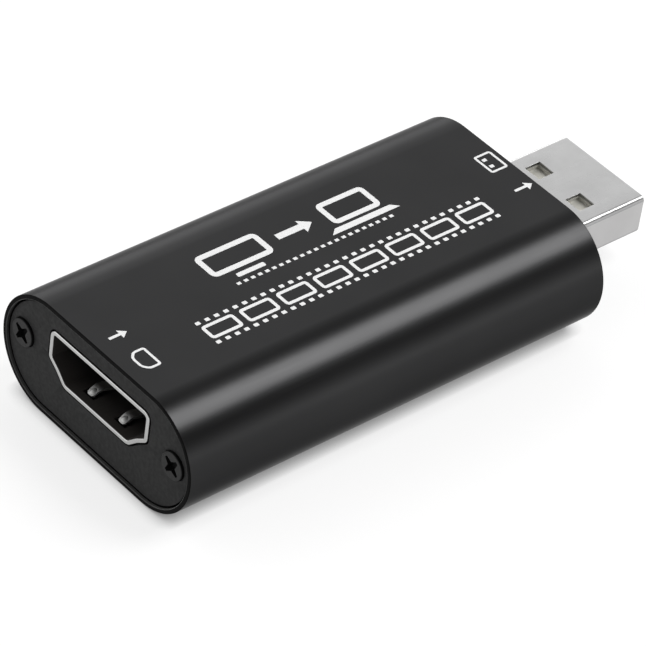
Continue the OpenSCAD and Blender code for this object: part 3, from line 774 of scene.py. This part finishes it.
def star(bm, x):
    """Draws a star with four narrow arms."""
    points = []
    for arm in range(4):
        along = Vector((1, 0)) @ Matrix.Rotation(-math.radians(STAR_TURN + 90 * arm), 2)
        across = along.orthogonal()
        points += [
            along * STAR_R - across * STAR_TIP,
            along * STAR_R + across * STAR_TIP,
            (along + across).normalized() * STAR_NOTCH,
        ]
    return draw(bm, x, points[0], *[to(*point) for point in points[1:]])


def screw(bm, length):
    """Draws one screw about the axis of the drawing, with its head's top at station zero."""
    top = circle(bm, 0, 0, 0, head_d - 2 * HEAD_EDGE)
    recess = star(bm, 0)
    fill(bm, top, recess)
    fill(bm, wall(bm, recess, -STAR_DEPTH, STAR_TAPER))
    shoulder = wall(bm, top, -HEAD_EDGE, head_d / (head_d - 2 * HEAD_EDGE))
    under = wall(bm, shoulder, HEAD_EDGE - HEAD_H)
    neck = wall(bm, under, 0, SHANK_D / head_d)
    tip = wall(bm, neck, SHANK_TIP - length)
    fill(bm, wall(bm, tip, -SHANK_TIP, 1 - 2 * SHANK_TIP / SHANK_D))
    face_out(bm)
    rim_edges = sharp_edges(bm, lambda co: abs(co.xy.length - head_d / 2) < TOUCH and co.z > -HEAD_H / 2)
    soften(bm, rim_edges, RIM_ROUND, segments=3)
    # Every face off the head's top gets the painted shade of the second finish.
    for face in bm.faces:
        on_top = face.normal.z > HEAD_SLOPE and face.calc_center_median().z > -HEAD_EDGE
        face.material_index = 0 if on_top else 1


def screw_pair(name, node, facing):
    """Makes the two screws of one plate, whose heads look along X where facing is one."""
    low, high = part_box(node)
    length = high.x - low.x - HEAD_H
    head_x = high.x if facing > 0 else low.x
    look = ACROSS if facing > 0 else Matrix.Rotation(math.pi, 4, "Z") @ ACROSS
    both = bmesh.new()
    for side in (-1, 1):
        one = bmesh.new()
        screw(one, length)
        place = Matrix.Translation((head_x, side * screw_y, screw_z)) @ look
        bmesh.ops.transform(one, matrix=place, verts=one.verts[:])
        part = bpy.data.meshes.new("screw_part")
        one.to_mesh(part)
        one.free()
        both.from_mesh(part)
        bpy.data.meshes.remove(part)
    make_piece(both, name, [black_steel, screw_painted_shade], [node], axes=UPRIGHT)


screw_pair("input_screws", "input_plate_screws", -1)
screw_pair("output_screws", "output_plate_screws", 1)

# %% [markdown]
# ## The connectors' metal
# Both connector shells are folded from thin steel and nickel plated. The plating mirrors softly, with
# fine rolling lines along the strip. The inside of the video socket gets a dull, dark finish that turns
# black away from the mouth, which is painted shade. The spring fingers are matt where plugs have
# rubbed them. The data plug's narrow sides get a lighter nickel than its top and bottom, which is
# painted light.

# %% Connector finishes
SOCKET_NICKEL = (0.46, 0.46, 0.455)
SOCKET_DULL = (0.42, 0.42, 0.415)
PLUG_NICKEL = (0.36, 0.36, 0.36)
PLUG_DULL = (0.33, 0.33, 0.33)
PLUG_SIDE_PAINTED_LIGHT = (0.50, 0.495, 0.495)
PLUG_SIDE_PAINTED_LIGHT_DULL = (0.47, 0.465, 0.465)
SOCKET_PAINTED_SHADE = (0.028, 0.025, 0.023)
SOCKET_DEEP_PAINTED_SHADE = (0.006, 0.005, 0.005)
SHADE_DEEPENING_REACH = 3.0 * MM
FINGER_NICKEL = (0.40, 0.40, 0.395)
FINGER_DULL = (0.36, 0.36, 0.355)
SHORT_LINES = (8, 1, 1)
LONG_LINES = (150, 1, 1)
GLOSS_SPREAD = 0.03


def plated(name, bright, dull, roughness, lines):
    """Plating with rolling lines that are drawn out along the axes, and a faint bloom."""
    finish = Finish(name, bright, roughness, metallic=1.0)
    finish.mottle(2.5 * MM, dull)
    rolled = finish.noise(0.06 * MM, stretch=lines, detail=3)
    finish.roughen(rolled, roughness - GLOSS_SPREAD, roughness + GLOSS_SPREAD)
    finish.bump(finish.noise(0.05 * MM, stretch=lines), depth=0.0006 * MM, strength=0.15)
    return finish


socket_nickel = plated("socket_nickel", SOCKET_NICKEL, SOCKET_DULL, 0.30, SHORT_LINES)
plug_nickel = plated("plug_nickel", PLUG_NICKEL, PLUG_DULL, 0.30, LONG_LINES)
# Painted light: the plug's narrow sides are given a lighter nickel than its top and bottom.
painted_light_sides = plated("plug_sides_painted_light", PLUG_SIDE_PAINTED_LIGHT, PLUG_SIDE_PAINTED_LIGHT_DULL, 0.34, LONG_LINES)
finger_nickel = plated("finger_nickel", FINGER_NICKEL, FINGER_DULL, 0.5, SHORT_LINES)
# Painted shade: the socket's inside is dark, and turns black over a few millimetres from the mouth.
socket_painted_shade = Finish("socket_painted_shade", SOCKET_PAINTED_SHADE, roughness=0.55, specular=0.3)
deepening_shade = socket_painted_shade.spread(socket_painted_shade.along_box(), 0, 1, socket_low.x, socket_low.x + SHADE_DEEPENING_REACH)
socket_painted_shade.cover(deepening_shade, SOCKET_DEEP_PAINTED_SHADE)
socket_painted_shade.roughen(socket_painted_shade.noise(0.2 * MM, stretch=SHORT_LINES), 0.48, 0.62)

# %% [markdown]
# ## Windows in a folded wall
# The socket's walls have slots around its spring fingers, and the plug's walls have latch windows. In
# the press they are punched before the strip is folded. Here the finished wall is sliced along the four
# sides of the window, the faces between are lifted out, and the two edges that are left, outside and
# inside, are bridged.

# %% Windows and tabs
TAB_EDGE = 0.04 * MM


def cut_window(bm, y_range, z_range, x_range):
    """Cuts a window through the wall that lies inside the three ranges."""
    for axis, ends in ((0, y_range), (2, x_range)):
        normal = Vector((0, 0, 0))
        normal[axis] = 1
        for end in ends:
            geom = bm.verts[:] + bm.edges[:] + bm.faces[:]
            bmesh.ops.bisect_plane(bm, geom=geom, dist=MERGE, plane_co=normal * end, plane_no=normal)
    ranges = (y_range, z_range, x_range)
    inside = []
    for face in bm.faces:
        middle = face.calc_center_median()
        if all(low < value < high for value, (low, high) in zip(middle, ranges)):
            inside.append(face)
    bmesh.ops.delete(bm, geom=inside, context="FACES")
    bmesh.ops.bridge_loops(bm, edges=[edge for edge in bm.edges if len(edge.link_faces) == 1])


def tab(bm, low, high):
    """Adds a small folded tab between two corners, with broken edges."""
    size = high - low
    place = Matrix.Translation((low + high) / 2) @ Matrix.Diagonal((*size, 1))
    verts = bmesh.ops.create_cube(bm, size=1.0, matrix=place)["verts"]
    edges = {edge for vert in verts for edge in vert.link_edges}
    soften(bm, list(edges), TAB_EDGE, segments=1)


# %% [markdown]
# ## The video socket's shell
# The shell is one folded strip with a flared lip that almost fills the plate's opening. Outside, its
# section is carried through four stations: lip, collar, body and rear. Inside, two are enough. Each
# pair of neighbours is bridged, and the lip and the rear are filled between outside and inside, which
# closes the wall. The legs that go through the board are small tabs.

# %% Socket shell
SHEET = 0.3 * MM
COLLAR = 0.3 * MM
FLARE_LEN = 0.7 * MM
LIP_EDGE = 0.1 * MM
LEG_W = 1.2 * MM
LEG_TAIL = 0.5 * MM
LEG_TOP = 1.0 * MM
LEG_DEPTHS = (4.4 * MM, 9.4 * MM)
FINGER_W = 1.3 * MM
FINGER_LEN = 3.3 * MM
SLOT_GAP = 0.15 * MM
ROOT_GAP = 0.02 * MM
ROOT_BACK = SHEET / 2 + ROOT_GAP

finger_joints = {joint["child"]: joint for joint in frame["joints"]}
mouth_x, socket_rear = socket_low.x, socket_high.x

bm = bmesh.new()
stations = [
    (mouth_x, -FLARE),
    (mouth_x + COLLAR, -FLARE),
    (mouth_x + FLARE_LEN, 0.0),
    (socket_rear, 0.0),
]
outside = [socket_outline(bm, x, inset) for x, inset in stations]
inside = [socket_outline(bm, x, SHEET) for x in (mouth_x, socket_rear)]
for ring, following in zip(outside, outside[1:]):
    bridge(bm, ring, following)
bridge(bm, *inside)
fill(bm, outside[0], inside[0])
fill(bm, outside[-1], inside[-1])
face_out(bm)
soften(bm, sharp_edges(bm, lambda co: co.z < mouth_x + TOUCH), LIP_EDGE, segments=3)
for joint in finger_joints.values():
    root = Vector(joint["pos_m"])
    half_w = FINGER_W / 2 + SLOT_GAP
    cut_window(
        bm,
        (root.y - half_w, root.y + half_w),
        (root.z - SHEET, root.z + SHEET),
        (root.x - FINGER_LEN - SLOT_GAP, root.x + ROOT_BACK),
    )
axis_point = Vector((0, (socket_floor + socket_roof) / 2, 0))
# Inside faces behind the lip get the socket's painted shade.
for face in bm.faces:
    middle = face.calc_center_median()
    looks_in = face.normal.dot(axis_point - Vector((middle.x, middle.y, 0))) > 0
    face.material_index = 1 if looks_in and middle.z > mouth_x + LIP_EDGE else 0
for side in (-1, 1):
    for depth in LEG_DEPTHS:
        leg_y = side * (socket_half_w - SHEET / 2)
        leg_x = mouth_x + depth
        tab(
            bm,
            Vector((leg_y - SHEET / 2, board_low.z - LEG_TAIL, leg_x - LEG_W / 2)),
            Vector((leg_y + SHEET / 2, knee_z + LEG_TOP, leg_x + LEG_W / 2)),
        )
make_piece(bm, "video_socket_shell", [socket_nickel, socket_painted_shade], ["socket_shell"])

# %% [markdown]
# ## The spring fingers
# Four tapered tongues are cut free in the socket's floor and roof and bent inwards. Each rises gently to
# a crown, and then its end slopes down again towards the mouth, so that nothing catches. A dimple pressed
# into that slope touches the plug's shell. The path is three points with the crown rounded by a bevel,
# drawn out to the width, narrowed towards the tip, given its thickness by solidify, and every edge is
# broken. The dimple is a flattened ball that is sunk into the slope. Each finger rides on its own body,
# because it gives way when a plug goes in.

# %% Spring fingers
CROWN = Vector((-2.25, 0.60)) * MM
TIP = Vector((-FINGER_LEN, 0.06 * MM))
TIP_W = 0.9 * MM
CROWN_BEND = 0.3 * MM
TIP_ROUND = 0.3 * MM
FINGER_EDGE = 0.05 * MM
DIMPLE = Vector((0.42, 0.36, 0.17)) * MM
DIMPLE_ALONG = 0.5
DIMPLE_LIFT = 0.06 * MM


def spring_finger(node, root, up):
    """Makes a finger along -X from its root, with its crown up or down."""
    bm = bmesh.new()
    tip = bmesh.ops.create_vert(bm, co=(0, -FINGER_W / 2, 0))["vert"][0]
    for x, z in (CROWN, TIP):
        tip = bmesh.ops.extrude_vert_indiv(bm, verts=[tip])["verts"][0]
        tip.co = (x, -FINGER_W / 2, z)
    round_off(bm, [vert for vert in bm.verts if len(vert.link_edges) == 2], CROWN_BEND, segments=8)
    made = bmesh.ops.extrude_edge_only(bm, edges=bm.edges[:])["geom"]
    bmesh.ops.translate(bm, vec=(0, FINGER_W, 0), verts=verts_of(made))
    for vert in bm.verts:
        vert.co.y *= 1 - (1 - TIP_W / FINGER_W) * vert.co.x / TIP.x
    round_off(bm, [vert for vert in bm.verts if vert.co.x < TIP.x + TOUCH], TIP_ROUND, segments=5)
    face_out(bm)
    if bm.faces[:][0].normal.z < 0:
        bmesh.ops.reverse_faces(bm, faces=bm.faces[:])
    bmesh.ops.translate(bm, vec=(0, 0, SHEET / 2), verts=bm.verts[:])
    bmesh.ops.solidify(bm, geom=bm.faces[:], thickness=SHEET)
    face_out(bm)
    soften(bm, sharp_edges(bm, lambda co: True), FINGER_EDGE)
    middle = CROWN.lerp(TIP, DIMPLE_ALONG)
    slope = math.atan2(CROWN.y - TIP.y, CROWN.x - TIP.x)
    tilt = Matrix.Translation((middle.x, 0, middle.y)) @ Matrix.Rotation(-slope, 4, "Y")
    ball = tilt @ Matrix.Translation((0, 0, DIMPLE_LIFT)) @ Matrix.Diagonal((*DIMPLE, 1))
    bmesh.ops.create_uvsphere(bm, u_segments=24, v_segments=16, radius=1.0, matrix=ball)
    place = Matrix.Translation(root) @ Matrix.Diagonal((1, 1, up, 1))
    make_piece(bm, node + "_piece", [finger_nickel], [node], body=node, axes=place)


for child, joint in finger_joints.items():
    spring_finger(child, Vector(joint["pos_m"]), 1 if "lower" in child else -1)

# %% [markdown]
# ## The data plug's shell
# The plug's shell is a flat rectangular tube with two latch windows above and two below. Like the
# socket's shell it is bridged along its length and filled at both ends, and the front edge is broken so
# that it slides in easily. The ears behind it hold the plug to the board.

# %% Plug shell
PLUG_HOLD = 5.0 * MM
PLUG_LIP = 0.09 * MM
WINDOW_START = 5.2 * MM
WINDOW_LEN = 2.0 * MM
WINDOW_W = 2.15 * MM
WINDOW_SPAN = 6.0 * MM
WINDOW_EDGE = 0.04 * MM
WINDOW_REACH = 1.5 * SHEET
EAR_LEN = 2.4 * MM
EAR_H = 1.5 * MM
EAR_OVERLAP = 1.0 * MM
EAR_GAP = 0.2 * MM

tip_x = plug_high.x
plug_rear = sleeve_high.x - PLUG_HOLD
plug_mid = (plug_top + plug_floor) / 2

bm = bmesh.new()
outside = [plug_outline(bm, x, 0.0) for x in (tip_x, plug_rear)]
inside = [plug_outline(bm, x, SHEET) for x in (tip_x, plug_rear)]
bridge(bm, *outside)
bridge(bm, *inside)
for outer_ring, inner_ring in zip(outside, inside):
    fill(bm, outer_ring, inner_ring)
face_out(bm)
soften(bm, sharp_edges(bm, lambda co: co.z > tip_x - TOUCH), PLUG_LIP)
window_x = (tip_x - WINDOW_START - WINDOW_LEN, tip_x - WINDOW_START)
for side in (-1, 1):
    window_y = (side * WINDOW_SPAN / 2 - WINDOW_W / 2, side * WINDOW_SPAN / 2 + WINDOW_W / 2)
    for z in (plug_floor, plug_top):
        cut_window(bm, window_y, (z - WINDOW_REACH, z + WINDOW_REACH), window_x)
face_out(bm)


def on_window(co):
    """Tells if a point lies on the rim of a latch window."""
    across = abs(abs(co.x) - WINDOW_SPAN / 2) < WINDOW_W / 2 + TOUCH
    return across and window_x[0] - TOUCH < co.z < window_x[1] + TOUCH


soften(bm, sharp_edges(bm, on_window), WINDOW_EDGE)
# The outermost faces, the plug's narrow sides, get the lighter nickel of painted light.
for face in bm.faces:
    outermost = abs(face.calc_center_median().x) > plug_high.y - TOUCH
    face.material_index = 1 if outermost else 0
ear_floor = max(plug_mid, board_high.z + EAR_GAP)
for side in (-1, 1):
    ear_y = side * (plug_high.y - SHEET / 2)
    ear_back = plug_rear - EAR_LEN
    for low_z, high_z, front_x in (
        (ear_floor, ear_floor + EAR_H, plug_rear + EAR_OVERLAP),
        (board_low.z - LEG_TAIL, ear_floor + EAR_H / 2, ear_back + LEG_W),
    ):
        tab(
            bm,
            Vector((ear_y - SHEET / 2, low_z, ear_back)),
            Vector((ear_y + SHEET / 2, high_z, front_x)),
        )
make_piece(bm, "data_plug_shell", [plug_nickel, painted_light_sides], ["plug_shell"])

# %% [markdown]
# ## Inner pieces with softened edges
# The tongues and contacts in both mouths are already right in shape, but a moulded tongue and a punched
# contact have no razor edges. A copy of such a part is merged into one skin, its flat areas are joined,
# and its edges are bevelled. The copies replace the plain parts.

# %% Plastics and plating
BLACK_TONGUE = (0.016, 0.016, 0.015)
BLACK_PALE = (0.022, 0.022, 0.021)
PALE_TONGUE = (0.60, 0.59, 0.54)
PALE_SHADE = (0.52, 0.51, 0.46)
GOLD = (0.80, 0.58, 0.25)
GOLD_PALE = (0.86, 0.70, 0.42)
GLOSSIER = 0.06
DULLER = 0.08


def moulded(name, dark, light, roughness):
    """Moulded plastic with soft mottling and a fine grain."""
    finish = Finish(name, dark, roughness, specular=0.35)
    finish.mottle(0.9 * MM, light)
    finish.roughen(finish.noise(0.3 * MM), roughness - GLOSSIER, roughness + DULLER)
    finish.bump(finish.noise(0.08 * MM), depth=0.004 * MM, strength=0.3)
    return finish


black_plastic = moulded("black_tongue", BLACK_TONGUE, BLACK_PALE, 0.55)
pale_plastic = moulded("pale_tongue", PALE_SHADE, PALE_TONGUE, 0.5)
gold_plating = Finish("gold_plating", GOLD, roughness=0.26, metallic=1.0)
gold_plating.mottle(0.7 * MM, GOLD_PALE)
gold_plating.roughen(gold_plating.noise(0.04 * MM, stretch=(12, 1, 1)), 0.2, 0.34)

# %% Softened tongues and contacts
SAME_POINT = TOUCH / 2
FLAT = math.radians(1)
FINE_EDGE = 0.03 * MM
SOFT_EDGE = 0.04 * MM
BLUNT_EDGE = 0.05 * MM


def softened(node, piece_name, finish, edge):
    """Copies a part with its edges rounded, to stand for it."""
    bm = bmesh.new()
    bm.from_mesh(frame["nodes"][node].data)
    bmesh.ops.remove_doubles(bm, verts=bm.verts[:], dist=SAME_POINT)
    bmesh.ops.dissolve_limit(bm, angle_limit=FLAT, verts=bm.verts[:], edges=bm.edges[:])
    soften(bm, sharp_edges(bm, lambda co: True), edge)
    make_piece(bm, piece_name, [finish], [node], axes=UPRIGHT)


softened("socket_insulator", "video_socket_tongue", black_plastic, SOFT_EDGE)
softened("socket_upper_contacts", "video_upper_contacts", gold_plating, FINE_EDGE)
softened("socket_lower_contacts", "video_lower_contacts", gold_plating, FINE_EDGE)
softened("plug_insulator", "data_plug_tongue", pale_plastic, BLUNT_EDGE)
softened("plug_contacts", "data_plug_contacts", gold_plating, SOFT_EDGE)

# %% [markdown]
# ## Finishes of the electronics
# The board and its parts lie inside the closed sleeve. Their solids are kept as they are and only get
# finishes: green lacquer over glass laminate, moulded chip packages, tinned leads, pressed ferrite and
# fired ceramic. Under the socket's metal shell the lacquer turns black, a painted shade where the board
# shows through the finger slots. Anyone who takes the box apart then finds what a real one holds.

# %% Board and parts
LACQUER = (0.012, 0.085, 0.032)
LACQUER_PALE = (0.022, 0.13, 0.05)
BOARD_PAINTED_SHADE = (0.006, 0.006, 0.006)
BOARD_SHADE_EDGE = 0.2 * MM
CHIP = (0.013, 0.013, 0.014)
CHIP_PALE = (0.02, 0.02, 0.021)
TIN = (0.62, 0.62, 0.60)
TIN_DULL = (0.52, 0.52, 0.50)
FERRITE = (0.04, 0.038, 0.036)
FERRITE_PALE = (0.055, 0.052, 0.05)
CERAMIC = (0.33, 0.19, 0.09)
CERAMIC_PALE = (0.42, 0.26, 0.13)

lacquer = Finish("green_lacquer", LACQUER, roughness=0.32)
tracks = lacquer.noise(0.5 * MM, stretch=(6, 1, 1), detail=0)
# Painted shade: the board goes black under the socket, where it shows through the finger slots.
painted_shade_under_socket = lacquer.spread(lacquer.along_box(), 1, 0, socket_rear, socket_rear + BOARD_SHADE_EDGE)
lacquer.cover(lacquer.spread(tracks, 0, 1, 0.5, 0.54), LACQUER_PALE)
lacquer.cover(painted_shade_under_socket, BOARD_PAINTED_SHADE)
lacquer.bump(tracks, depth=0.02 * MM, strength=0.4)
chip_plastic = moulded("chip_package", CHIP, CHIP_PALE, 0.5)
tin = plated("tin_plating", TIN, TIN_DULL, 0.36, (1, 1, 1))
ferrite = moulded("ferrite", FERRITE, FERRITE_PALE, 0.7)
ceramic = moulded("fired_ceramic", CERAMIC, CERAMIC_PALE, 0.45)
kept_parts = {
    lacquer: ["circuit_board"],
    chip_plastic: [
        "capture_chip", "memory_chip", "voltage_regulator", "chip_resistors", "surge_protectors",
    ],
    tin: ["capture_chip_pads", "memory_chip_leads", "crystal", "regulator_leads", "capacitor_end_caps"],
    ferrite: ["power_coil"],
    ceramic: ["ceramic_capacitors"],
}
for finish, names in kept_parts.items():
    for name in names:
        for material_slot in frame["nodes"][name].material_slots:
            material_slot.material = finish.material
    print(finish.material.name, "on", names)

# %% [markdown]
# ## The print
# Boxes like this carry white pad print on the flat top. This one has plain pictograms in those places:
# a socket and an arrow at the input, a screen that feeds a computer in the middle, a strip of frames
# below it, and an arrow and a plug at the output. Ink is a layer of some hundredths of a millimetre, so
# each mark is a flat outline that is raised a little, and the ink has a slightly grainy, matt white.

# %% Ink
INK = (0.80, 0.80, 0.80)
INK_THIN = (0.72, 0.72, 0.72)
INK_H = 0.015 * MM
ARROW_SPREAD = 0.75

ink = Finish("white_ink", INK, roughness=0.6, specular=0.3)
ink.cover(ink.spread(ink.noise(0.1 * MM, detail=3), 1, 0, 0.4, 0.6), INK_THIN)
ink.bump(ink.noise(0.09 * MM), depth=0.004 * MM, strength=0.3)
print_z = sleeve_high.z
marks = bmesh.new()


def patch(corners, radius=0.0):
    """Draws a filled shape on the flat top from a few corners in mm, with rounded corners."""
    verts = [bmesh.ops.create_vert(marks, co=(x * MM, y * MM, print_z))["vert"][0] for x, y in corners]
    known = set(marks.faces)
    marks.faces.new(verts)
    if radius:
        round_off(marks, verts, radius * MM, segments=4)
    return [face for face in marks.faces if face not in known]


def bar(x0, y0, x1, y1, radius=0.0):
    """A filled rectangle."""
    return patch([(x0, y0), (x1, y0), (x1, y1), (x0, y1)], radius)


def hollow(faces, stroke):
    """Leaves only the border of a filled shape."""
    bmesh.ops.inset_region(
        marks, faces=faces, thickness=stroke * MM, use_boundary=True, use_even_offset=True
    )
    bmesh.ops.delete(marks, geom=faces, context="FACES_ONLY")


def arrow(tail, tip, stroke, head):
    """A straight arrow along X or Y."""
    start, end = Vector(tail), Vector(tip)
    along = (end - start).normalized()
    side = along.orthogonal() * stroke / 2
    barb = along.orthogonal() * head * ARROW_SPREAD
    neck = end - along * head
    patch([start - side, neck - side, neck - barb, end, neck + barb, neck + side, start + side])


# %% Screen, arrow and computer
SCREEN_LOW, SCREEN_HIGH = 2.5, 5.9
STAND_LOW = 1.4
TICKS = 23
TICKS_X0, TICKS_SPAN = -15.5, 19.1
TICK_LOW, TICK_HIGH = 0.5, 0.85
TICK_HALF = 0.22

hollow(bar(-17.0, SCREEN_LOW, -9.4, SCREEN_HIGH, radius=0.7), stroke=0.62)
bar(-14.9, STAND_LOW, -11.5, 1.95, radius=0.12)
arrow((-8.0, 4.1), (-3.6, 4.1), stroke=0.8, head=1.3)
hollow(bar(-1.9, SCREEN_LOW, 4.1, SCREEN_HIGH, radius=0.65), stroke=0.6)
patch([(-3.2, STAND_LOW), (5.4, STAND_LOW), (4.6, 2.1), (-2.4, 2.1)], radius=0.1)
for i in range(TICKS):
    tick_x = TICKS_X0 + TICKS_SPAN * i / (TICKS - 1)
    bar(tick_x - TICK_HALF, TICK_LOW, tick_x + TICK_HALF, TICK_HIGH)
print("pictograms drawn:", len(marks.faces), "faces")

# %% Strip of frames
FRAMES = 8
STRIP_X0, STRIP_X1 = -23.1, 13.1
STRIP_LOW, STRIP_HIGH = -5.1, -1.6
FRAME_GAP = 0.35
FRAME_INSET = 0.75
HOLES = 4
HOLE_HALF = 0.26
HOLE_H = 0.42

pitch = (STRIP_X1 - STRIP_X0) / FRAMES
frame_low, frame_high = STRIP_LOW + FRAME_INSET, STRIP_HIGH - FRAME_INSET
for i in range(FRAMES):
    x0 = STRIP_X0 + pitch * i
    hollow(bar(x0 + FRAME_GAP, frame_low, x0 + pitch - FRAME_GAP, frame_high, radius=0.42), stroke=0.36)
    for j in range(HOLES):
        hole_x = x0 + pitch * (j + 0.5) / HOLES
        for y in (STRIP_LOW, STRIP_HIGH - HOLE_H):
            bar(hole_x - HOLE_HALF, y, hole_x + HOLE_HALF, y + HOLE_H, radius=0.08)
print("frames drawn:", FRAMES)

# %% Input and output marks
MARK_ROUND = 0.3
MARK_STROKE = 0.26
ARROW_STROKE = 0.32
ARROW_HEAD = 0.8
SOCKET_MARK = [(-30.9, -2.4), (-30.9, -3.8), (-30.3, -4.5), (-28.9, -4.5), (-28.9, -1.7), (-30.3, -1.7)]

hollow(patch(SOCKET_MARK, MARK_ROUND), MARK_STROKE)
arrow((-30.9, 0.9), (-28.8, 0.9), ARROW_STROKE, ARROW_HEAD)
hollow(bar(16.6, 0.4, 18.8, 3.3, MARK_ROUND), MARK_STROKE)
for window_low in (1.1, 2.2):
    bar(17.1, window_low, 17.6, window_low + 0.4)
arrow((16.6, -2.9), (18.9, -2.9), ARROW_STROKE, ARROW_HEAD)
raised = bmesh.ops.extrude_face_region(marks, geom=marks.faces[:])["geom"]
bmesh.ops.translate(marks, vec=(0, 0, INK_H), verts=verts_of(raised))
make_piece(marks, "white_print", [ink], axes=UPRIGHT)
